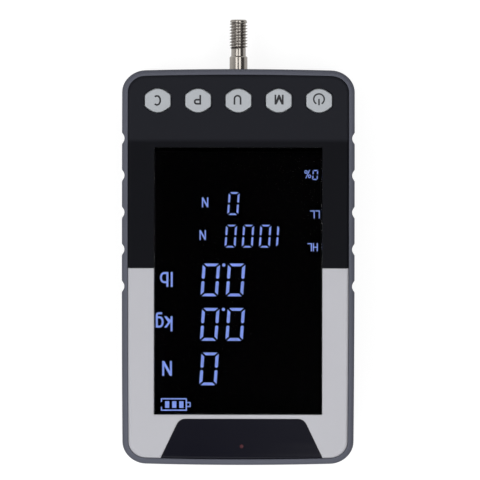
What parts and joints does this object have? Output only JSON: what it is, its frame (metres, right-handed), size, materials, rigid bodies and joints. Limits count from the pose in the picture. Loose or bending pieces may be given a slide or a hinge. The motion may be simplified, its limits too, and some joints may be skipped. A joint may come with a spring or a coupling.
{
  "type": "digital force gauge",
  "caption": "Hand-held digital force gauge: case with a grip band, tall segment display, row of keys, and a threaded measuring shaft carried on a load cell.",
  "frame": {"origin": "middle of the flat back face of the rear cover, on which the gauge lies", "axes": "+Z from the back face out of the display, +Y along the measuring shaft out of the case, +X to the right when the display faces the viewer and the shaft points up"},
  "size_m": [0.077, 0.1478, 0.0341],
  "materials": {
    "bumper_rubber": "matt grey moulded rubber with a soft sheen",
    "dark_plastic": "fine spark-textured near-black moulding",
    "silver_paint": "satin silver paint on a moulding",
    "gloss_black": "polished blue-black plate",
    "label_foil": "bare satin foil label",
    "clear_window": "clear acrylic",
    "foam": "closed-cell foam",
    "display_black": "black display glass with lit blue segments",
    "white_plastic": "natural white moulding",
    "amber_film": "polyimide film",
    "key_grey": "satin light grey key with a dark printed legend",
    "black_plastic": "black moulding",
    "board_green": "green solder mask",
    "zinc_steel": "zinc plated",
    "red_lens": "clear red",
    "battery_wrap": "blue shrink wrap",
    "lead_sheath": "black cable sheath",
    "shaft_steel": "turned stainless steel",
    "seal_rubber": "black rubber",
    "cell_aluminium": "milled and anodised",
    "insert_brass": "turned brass"
  },
  "bodies": {
    "case": {"grip_bumper": "bumper_rubber", "front_cover": "dark_plastic", "rear_cover": "dark_plastic", "silver_fascia": "silver_paint", "nameplate": "gloss_black", "back_label": "label_foil", "display_window": "clear_window", "dust_gasket": "foam", "lcd_panel": "display_black", "lcd_backlight": "white_plastic", "lcd_flex": "amber_film", "clear_switch": "black_plastic", "peak_switch": "black_plastic", "unit_switch": "black_plastic", "mode_switch": "black_plastic", "power_switch": "black_plastic", "main_board": "board_green", "charging_socket": "zinc_steel", "charge_led": "red_lens", "light_pipe": "red_lens", "buzzer": "black_plastic", "processor_chip": "black_plastic", "adc_shield": "zinc_steel", "sensor_connector": "white_plastic", "battery_connector": "white_plastic", "battery_pack": "battery_wrap", "battery_pad": "foam", "battery_lead": "lead_sheath", "sensor_lead": "lead_sheath", "shaft_seal": "seal_rubber", "load_cell": "cell_aluminium", "chassis_plate": "zinc_steel", "anchor_bolt": "zinc_steel", "mount_insert_1": "insert_brass", "mount_insert_2": "insert_brass", "mount_insert_3": "insert_brass", "mount_insert_4": "insert_brass", "housing_screw_1": "zinc_steel", "housing_screw_2": "zinc_steel", "housing_screw_3": "zinc_steel", "housing_screw_4": "zinc_steel", "board_screw_1": "zinc_steel", "board_screw_2": "zinc_steel", "board_screw_3": "zinc_steel", "board_screw_4": "zinc_steel"},
    "shaft": {"measuring_shaft": "shaft_steel", "shaft_lock_nut": "zinc_steel"},
    "clear_button": {"clear_key": "key_grey", "clear_plunger": "white_plastic"},
    "peak_button": {"peak_key": "key_grey", "peak_plunger": "white_plastic"},
    "unit_button": {"unit_key": "key_grey", "unit_plunger": "white_plastic"},
    "mode_button": {"mode_key": "key_grey", "mode_plunger": "white_plastic"},
    "power_button": {"power_key": "key_grey", "power_plunger": "white_plastic"}
  },
  "joints": [
    {"name": "shaft_load", "type": "slide", "parent": "case", "child": "shaft", "axis": [0, 1, 0], "range_m": [-0.0002, 0.0002], "stiffness_N_per_m": 5000000},
    {"name": "clear_press", "type": "slide", "parent": "case", "child": "clear_button", "axis": [0, 0, -1], "range_m": [0, 0.0006], "stiffness_N_per_m": 3000},
    {"name": "peak_press", "type": "slide", "parent": "case", "child": "peak_button", "axis": [0, 0, -1], "range_m": [0, 0.0006], "stiffness_N_per_m": 3000},
    {"name": "unit_press", "type": "slide", "parent": "case", "child": "unit_button", "axis": [0, 0, -1], "range_m": [0, 0.0006], "stiffness_N_per_m": 3000},
    {"name": "mode_press", "type": "slide", "parent": "case", "child": "mode_button", "axis": [0, 0, -1], "range_m": [0, 0.0006], "stiffness_N_per_m": 3000},
    {"name": "power_press", "type": "slide", "parent": "case", "child": "power_button", "axis": [0, 0, -1], "range_m": [0, 0.0006], "stiffness_N_per_m": 3000}
  ]
}
